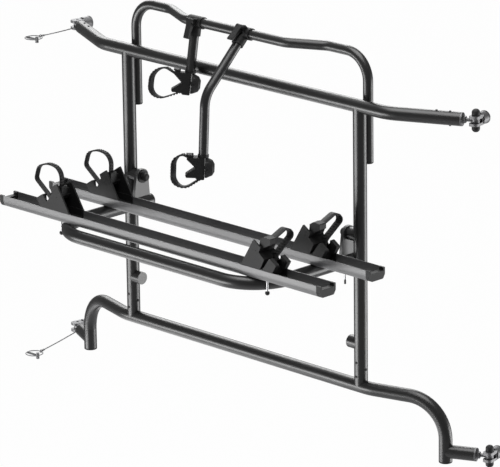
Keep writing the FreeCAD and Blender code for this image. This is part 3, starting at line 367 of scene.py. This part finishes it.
def headedPinMask(name):
    low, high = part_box(name)
    middle = (low[2] + high[2]) / 2

    def mask(made):
        rise = made.part("Z") - middle
        return rise.above(darkParts["headStart"]) + (rise * -1).above(darkParts["headStart"])
    return mask


def clampRodMask(made):
    ball = made.part("Z").below(darkParts["ballTop"]) * made.part("Y").below(darkParts["between"])
    tip = made.part("Z").below(darkParts["tipTop"]) * made.part("Y").above(darkParts["between"])
    return ball + tip


finishes = {
    "black_tube": powderCoat("satinBlackPowderCoat", tone=0.008, roughness=0.34),
    "bracket_grey": powderCoat("satinGreyPowderCoat", tone=0.035, roughness=0.42),
    "rail_grey": extrusion("greyAnodisedRail", tone=0.15),
    "black_plastic": mouldedPlastic("blackMouldedPlastic", tone=0.014),
    "strap_black": softStrap("blackRubberStrap", tone=0.025),
    "silver_cast": bareMetal("blastedAluminium", tone=0.26, roughness=0.55),
    "zinc_steel": bareMetal("brightZinc", tone=0.22, roughness=0.5),
}
for entry in frame["record"]["subparts"]:
    node = nodes[entry["node"]]
    finish = finishes[entry["material_slot"]]
    if entry["node"].endswith("_pin") and "ring" not in entry["node"]:
        heads = headedPinMask(entry["node"])
        finish = bareMetal(entry["node"] + "Finish", tone=0.5, roughness=0.34, darkPart=heads)
    if entry["node"] == "platform_bolts":
        finish = bareMetal("clampRodFinish", tone=0.55, roughness=0.3, darkPart=clampRodMask)
    node.data.materials.clear()
    node.data.materials.append(finish)
for wire in wires:
    wire.data.materials.append(finishes["zinc_steel"])
print("finishes applied")


# wheel rails, rolled with rounded sides

rails = {
    "y": {"front": -0.3145, "rear": -0.1245},
    "base": 0.374,
    "halfLength": 0.624,
    "halfWidth": 0.0295,
    "height": 0.0315,
    "wall": 0.0026,
    "floorHalf": 0.0195,
    "footShares": (0.5, 0.62),     # where the sole's shallow foot starts and ends, across the floor
    "edge": 0.0006,
    "bulge": 0.021,                # height at which the side stops curving under
    "sideSteps": 10,
    "sharpAngle": 35,
}


def railProfile(setup):
    half = setup["halfWidth"]
    floor = setup["floorHalf"]
    rise = setup["bulge"]
    wall = setup["wall"]
    lip = setup["height"]
    edge = setup["edge"]
    steps = setup["sideSteps"]
    footStart, footEnd = setup["footShares"]
    outer = [(floor * footStart, edge), (floor * footEnd, 0)]
    for step in range(steps + 1):
        angle = math.pi / 2 * (1 - step / steps)
        outer.append((floor + (half - floor) * math.cos(angle), rise - rise * math.sin(angle)))
    outer += [(half, lip - edge), (half - edge, lip)]
    inner = [(half - wall + edge, lip), (half - wall, lip - edge)]
    for step in range(steps + 1):
        angle = math.pi / 2 * step / steps
        across = floor + (half - wall - floor) * math.cos(angle)
        inner.append((across, rise - (rise - wall) * math.sin(angle)))
    side = outer + inner
    return side + [(-y, z) for y, z in reversed(side)]


def makeRail(name, y, setup):
    profile = railProfile(setup)
    ends = (-setup["halfLength"], setup["halfLength"])
    points = [(x, y + across, setup["base"] + height) for x in ends for across, height in profile]
    count = len(profile)
    faces = [(i, (i + 1) % count, count + (i + 1) % count, count + i) for i in range(count)]
    mesh = bpy.data.meshes.new(name)
    mesh.from_pydata(points, [], faces)
    work = bmesh.new()
    work.from_mesh(mesh)
    bmesh.ops.holes_fill(work, edges=[edge for edge in work.edges if edge.is_boundary], sides=0)
    bmesh.ops.recalc_face_normals(work, faces=work.faces)
    work.to_mesh(mesh)
    work.free()
    shadeSmooth(mesh, setup["sharpAngle"])
    mesh.materials.append(finishes["rail_grey"])
    rail = addObject(name, mesh)
    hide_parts(name)
    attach(rail, "platform")


for row, y in rails["y"].items():
    makeRail(row + "_rail", y, rails)
print("rails rolled")


# ladder straps: a band along a curve with ribs moulded across its outer face

# these keys are the names of the node group's inputs
strapSizes = {
    "Pitch": 0.0085,
    "Rib Length": 0.0042,
    "Rib Height": 0.0018,
    "Thickness": 0.0026,
}
strapShape = {
    "ribWidthShare": 0.8,
    "ribSink": 0.49,               # a little under half, so that the ribs bite into the band
    "arcSteps": 14,
    "leanStart": 0.045,            # how far from the jaw a leaning strap starts to lean
    "leanRun": 0.03,
}
seatHeight = 0.4055
wheelLoops = {
    "left": {
        "corners": [(-1, 48.4), (-6, 116), (45.75, 123), (90, 108), (103.5, 68), (13.5, 1.4)],
        "bends": [32, 70, 28, 12],
        "width": 0.016,
        "seatX": -0.4084,
        "out": (-1, 0, 0),
    },
    "right": {
        "corners": [(-9.6, 81.2), (54, 108), (75, 82), (12, 38), (-3.8, 2.5)],
        "bends": [20, 12, 30],
        "width": 0.024,
        "seatX": 0.4316,
        "out": (0, 1, 0),
    },
}
clawLoops = {
    "first_claw_strap": {
        "corners": [(8.4, -20.2), (106, -63.4), (106, 36.5), (64, 36.5), (30.4, 17.2)],
        "bends": [30, 38, 14], "width": 0.022, "lean": 0.6,
        "seat": (-0.155, -0.05046, 0.76396), "out": (-0.7071, -0.7071, 0), "up": (0, 0.1681, 0.9858),
        "body": "first_claw_body",
    },
    "second_claw_strap": {
        "corners": [(2.4, -28.9), (81.5, -82.7), (81.5, 34.5), (54, 34.5), (30.4, 22.7)],
        "bends": [30, 30, 14], "width": 0.022, "lean": 0.6,
        "seat": (0.038, -0.18793, 0.58556), "out": (-0.7071, -0.7071, 0), "up": (0, 0.0595, 0.9982),
        "body": "second_claw_body",
    },
}
straps = {}
for side, loop in wheelLoops.items():
    for row, y in rails["y"].items():
        holder = f"{row}_{side}"
        seat = (loop["seatX"], y, seatHeight)
        straps[holder + "_strap"] = {**loop, "seat": seat, "body": holder + "_holder_body"}
straps.update(clawLoops)


def roundedRun(corners, bends, steps):
    # points in metres along straight runs joined by arcs, from corners and bends in mm
    spots = [Vector((x / 1000, 0, z / 1000)) for x, z in corners]
    run = [spots[0]]
    for index, bend in enumerate(bends, start=1):
        corner = spots[index]
        radius = bend / 1000
        back = (spots[index - 1] - corner).normalized()
        ahead = (spots[index + 1] - corner).normalized()
        half = back.angle(ahead) / 2
        centre = corner + (back + ahead).normalized() * (radius / math.sin(half))
        first = corner + back * (radius / math.tan(half)) - centre
        last = corner + ahead * (radius / math.tan(half)) - centre
        run += [centre + first.slerp(last, step / steps).normalized() * radius for step in range(steps + 1)]
    return run + [spots[-1]]


def strapTree(shape):
    tree = bpy.data.node_groups.new("ladderStrap", "GeometryNodeTree")
    face = tree.interface
    face.new_socket("Path", in_out="INPUT", socket_type="NodeSocketGeometry")
    for label in ("Width", "Thickness", "Pitch", "Rib Length", "Rib Height"):
        face.new_socket(label, in_out="INPUT", socket_type="NodeSocketFloat")
    face.new_socket("Finish", in_out="INPUT", socket_type="NodeSocketMaterial")
    face.new_socket("Strap", in_out="OUTPUT", socket_type="NodeSocketGeometry")
    given = tree.nodes.new("NodeGroupInput").outputs

    def add(kind, inputs, settings=None):
        made = tree.nodes.new(kind)
        for label, value in (settings or {}).items():
            setattr(made, label, value)
        for label, value in inputs.items():
            if isinstance(value, bpy.types.NodeSocket):
                tree.links.new(value, made.inputs[label])
            else:
                made.inputs[label].default_value = value
        return made.outputs

    def sums(operation, first, second):
        return add("ShaderNodeMath", {0: first, 1: second}, {"operation": operation})[0]

    section = add("GeometryNodeCurvePrimitiveQuadrilateral", {
        "Width": given["Width"], "Height": given["Thickness"],
    })[0]
    band = add("GeometryNodeCurveToMesh", {
        "Curve": given["Path"], "Profile Curve": section, "Fill Caps": True,
    })[0]
    spots = add("GeometryNodeCurveToPoints", {
        "Curve": given["Path"], "Length": given["Pitch"],
    }, {"mode": "LENGTH"})
    ribWidth = sums("MULTIPLY", given["Width"], shape["ribWidthShare"])
    ribSize = add("ShaderNodeCombineXYZ", {
        "X": ribWidth, "Y": given["Rib Height"], "Z": given["Rib Length"],
    })[0]
    rib = add("GeometryNodeMeshCube", {"Size": ribSize})[0]
    lift = sums("MULTIPLY", sums("ADD", given["Thickness"], given["Rib Height"]), shape["ribSink"])
    shift = add("ShaderNodeCombineXYZ", {"Y": lift})[0]
    raised = add("GeometryNodeTransform", {"Geometry": rib, "Translation": shift})[0]
    ribs = add("GeometryNodeInstanceOnPoints", {
        "Points": spots["Points"], "Instance": raised, "Rotation": spots["Rotation"],
    })[0]
    realRibs = add("GeometryNodeRealizeInstances", {"Geometry": ribs})[0]
    joined = tree.nodes.new("GeometryNodeJoinGeometry")
    tree.links.new(band, joined.inputs[0])
    tree.links.new(realRibs, joined.inputs[0])
    painted = add("GeometryNodeSetMaterial", {"Geometry": joined.outputs[0], "Material": given["Finish"]})[0]
    output = tree.nodes.new("NodeGroupOutput")
    tree.links.new(painted, output.inputs["Strap"])
    return tree


def setInput(modifier, label, value):
    for item in modifier.node_group.interface.items_tree:
        if item.item_type == "SOCKET" and item.in_out == "INPUT" and item.name == label:
            modifier[item.identifier] = value


def leanBack(mesh, lean, shape):
    # a claw's strap leans back from its near edge, more the farther it is from the jaw
    for vertex in mesh.vertices:
        free = min(max((vertex.co.x - shape["leanStart"]) / shape["leanRun"], 0), 1)
        vertex.co.x += vertex.co.y * lean * free


def makeStrap(name, setup, shape, tree):
    curve = bpy.data.curves.new(name + "Path", "CURVE")
    curve.dimensions = "3D"
    run = roundedRun(setup["corners"], setup["bends"], shape["arcSteps"])
    spline = curve.splines.new("POLY")
    spline.points.add(len(run) - 1)
    for point, spot in zip(spline.points, run):
        point.co = (*spot, 1)
    path = addObject(name + "Path", curve)
    modifier = path.modifiers.new("ladder", "NODES")
    modifier.node_group = tree
    inputs = {"Width": setup["width"], "Finish": finishes["strap_black"], **strapSizes}
    for label, value in inputs.items():
        setInput(modifier, label, value)
    view = bpy.context.evaluated_depsgraph_get()
    mesh = bpy.data.meshes.new_from_object(path.evaluated_get(view), depsgraph=view)
    bpy.data.objects.remove(path)
    if "lean" in setup:
        leanBack(mesh, setup["lean"], shape)
    out = Vector(setup["out"]).normalized()
    up = Vector(setup.get("up", (0, 0, 1))).normalized()
    across = up.cross(out).normalized()
    out = across.cross(up)
    mesh.transform(Matrix.Translation(setup["seat"]) @ Matrix((out, across, up)).transposed().to_4x4())
    strap = addObject(name + "_ladder", mesh)
    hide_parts(name)
    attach(strap, setup["body"])


strapLadder = strapTree(strapShape)
for name, setup in straps.items():
    makeStrap(name, setup, strapShape, strapLadder)
print("straps moulded")


# small screw heads on the tube ends and plugs in the posts' drilled holes

screwHead = {"radius": 0.0034, "height": 0.0028, "sink": 0.0006}
holePlug = {"radius": 0.0038, "height": 0.0009, "sink": 0.0006}
headShape = {
    "rings": ((1, 0.35), (0.82, 0.8), (0.45, 1)),     # shares of the radius and of the height
    "segments": 20,
    "sharpAngle": 40,
}
tubeRadius = 0.019
tubeEnds = {
    "slant": Vector((0.906308, 0.422618, 0)),         # the crossbar's ends turn 25 degrees to the vehicle
    "height": 0.8,
    "screws": ((0.07, 1), (0.032, 1), (0.032, -1)),   # distance from the end, and top or bottom
}
posts = {"x": 0.4575, "frontHoles": (0.0315, 0.072), "sideHole": 0.052}


def makeHeads(name, spots, setup, slot, shape=headShape):
    # each spot is a place on the tube's surface and the way out of it
    radius, height, segments = setup["radius"], setup["height"], shape["segments"]
    profile = [(radius, -setup["sink"])] + [(radius * wide, height * high) for wide, high in shape["rings"]]
    points = []
    faces = []
    for place, out in spots:
        turn = Vector(out).to_track_quat("Z", "Y").to_matrix()
        first = len(points)
        for ring, (across, rise) in enumerate(profile):
            above = first + ring * segments
            below = above - segments
            for step in range(segments):
                angle = 2 * math.pi * step / segments
                offset = Vector((across * math.cos(angle), across * math.sin(angle), rise))
                points.append(Vector(place) + turn @ offset)
                after = (step + 1) % segments
                if ring:
                    faces.append((below + step, below + after, above + after, above + step))
        last = len(points) - segments
        faces.append([last + step for step in range(segments)])
        faces.append([first + step for step in reversed(range(segments))])
    mesh = bpy.data.meshes.new(name)
    mesh.from_pydata(points, [], faces)
    shadeSmooth(mesh, shape["sharpAngle"])
    mesh.materials.append(finishes[slot])
    heads = addObject(name, mesh)
    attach(heads, "frame")


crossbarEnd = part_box("upper_crossbar")[1]
slant = tubeEnds["slant"]
screwSpots = []
plugSpots = []
for side in (-1, 1):
    along = Vector((slant.x * side, slant.y, 0))
    endX = side * (crossbarEnd[0] - tubeRadius * slant.y)
    end = Vector((endX, crossbarEnd[1] - tubeRadius * slant.x, tubeEnds["height"]))
    for back, rise in tubeEnds["screws"]:
        screwSpots.append((end - along * back + Vector((0, 0, rise * tubeRadius)), (0, 0, rise)))
    for height in posts["frontHoles"]:
        plugSpots.append(((side * posts["x"], -tubeRadius, height), (0, -1, 0)))
    plugSpots.append(((side * posts["x"] + tubeRadius, 0, posts["sideHole"]), (1, 0, 0)))
makeHeads("tubeEndScrews", screwSpots, screwHead, "zinc_steel")
makeHeads("postHolePlugs", plugSpots, holePlug, "black_plastic")
print("screw heads set")


# floor, backdrop and light

white = (1, 1, 1, 1)
studio = {
    "floorHeight": -2.6,       # the rack hangs on a vehicle, well above the ground
    "floorSize": 60.0,
    "floorTone": 0.8,
    "whiteShare": 0.985,
    "worldLight": 0.13,
    "glossyShare": 0.08,
}


def paleFloor(setup):
    made = Finish("paleFloor")
    rays = made.tree.nodes.new("ShaderNodeLightPath")
    seen = Signal(made, rays.outputs["Is Camera Ray"])
    glossy = Signal(made, rays.outputs["Is Glossy Ray"])
    clear = Signal(made, rays.outputs["Is Transmission Ray"])
    share = (seen.sum("MAXIMUM", seen, clear) + glossy * setup["glossyShare"]) * setup["whiteShare"]
    matt = made.node("ShaderNodeBsdfDiffuse", {}, {"Color": grey(setup["floorTone"])})
    glow = made.node("ShaderNodeEmission", {}, {"Color": white, "Strength": 1.0})
    made.show(made.node("ShaderNodeMixShader", {}, {0: share, 1: matt, 2: glow}))
    return made.material


def makeFloor(setup):
    half = setup["floorSize"] / 2
    height = setup["floorHeight"]
    mesh = bpy.data.meshes.new("floor")
    corners = [(-half, -half, height), (half, -half, height), (half, half, height), (-half, half, height)]
    mesh.from_pydata(corners, [], [(0, 1, 2, 3)])
    mesh.materials.append(paleFloor(setup))
    floor = addObject("floor", mesh)


def makeWorld(setup):
    world = bpy.data.worlds.new("studio")
    scene.world = world
    world.use_nodes = True
    tree = world.node_tree
    tree.nodes.clear()
    rays = tree.nodes.new("ShaderNodeLightPath").outputs
    clear = tree.nodes.new("ShaderNodeMath")
    clear.operation = "MAXIMUM"
    seen = tree.nodes.new("ShaderNodeMath")
    seen.operation = "MULTIPLY_ADD"
    seen.inputs[1].default_value = setup["glossyShare"]
    light = tree.nodes.new("ShaderNodeBackground")
    light.inputs["Color"].default_value = white
    light.inputs["Strength"].default_value = setup["worldLight"]
    backdrop = tree.nodes.new("ShaderNodeBackground")
    backdrop.inputs["Color"].default_value = white
    mixed = tree.nodes.new("ShaderNodeMixShader")
    output = tree.nodes.new("ShaderNodeOutputWorld")
    for start, finish in (
        (rays["Is Camera Ray"], clear.inputs[0]),
        (rays["Is Transmission Ray"], clear.inputs[1]),
        (rays["Is Glossy Ray"], seen.inputs[0]),
        (clear.outputs[0], seen.inputs[2]),
        (seen.outputs[0], mixed.inputs[0]),
        (light.outputs[0], mixed.inputs[1]),
        (backdrop.outputs[0], mixed.inputs[2]),
        (mixed.outputs[0], output.inputs["Surface"]),
    ):
        tree.links.new(start, finish)


rackMiddle = (0, 0, 0.4)
softBoxes = {
    "leftBox": {"place": (-2.6, -4.3, -1.2), "aim": rackMiddle, "size": (4.2, 1.8), "watts": 140},
    "rightBox": {"place": (3.2, 3.8, -1.0), "aim": rackMiddle, "size": (3.4, 2.4), "watts": 110},
    "topBox": {"place": (-3.6, 2.6, 3.2), "aim": rackMiddle, "size": (3.0, 1.4), "watts": 70},
    "skyBox": {"place": (0.3, -0.4, 4.6), "aim": rackMiddle, "size": (4.0, 4.0), "watts": 150},
    "rearBox": {"place": (-3.4, 3.6, 2.0), "aim": rackMiddle, "size": (4.6, 2.2), "watts": 60},
    "lowBox": {"place": (-1.8, -0.1, -1.5), "aim": (-1.0, 0, 0.4), "size": (3.4, 0.9), "watts": 12},
}


def makeLight(name, setup):
    data = bpy.data.lights.new(name, "AREA")
    data.shape = "RECTANGLE"
    data.size, data.size_y = setup["size"]
    data.energy = setup["watts"]
    light = addObject(name, data)
    light.location = setup["place"]
    direction = Vector(setup["aim"]) - Vector(setup["place"])
    light.rotation_euler = direction.to_track_quat("-Z", "Y").to_euler()
    light.visible_camera = False


makeFloor(studio)
makeWorld(studio)
for name, setup in softBoxes.items():
    makeLight(name, setup)
print("studio lit")
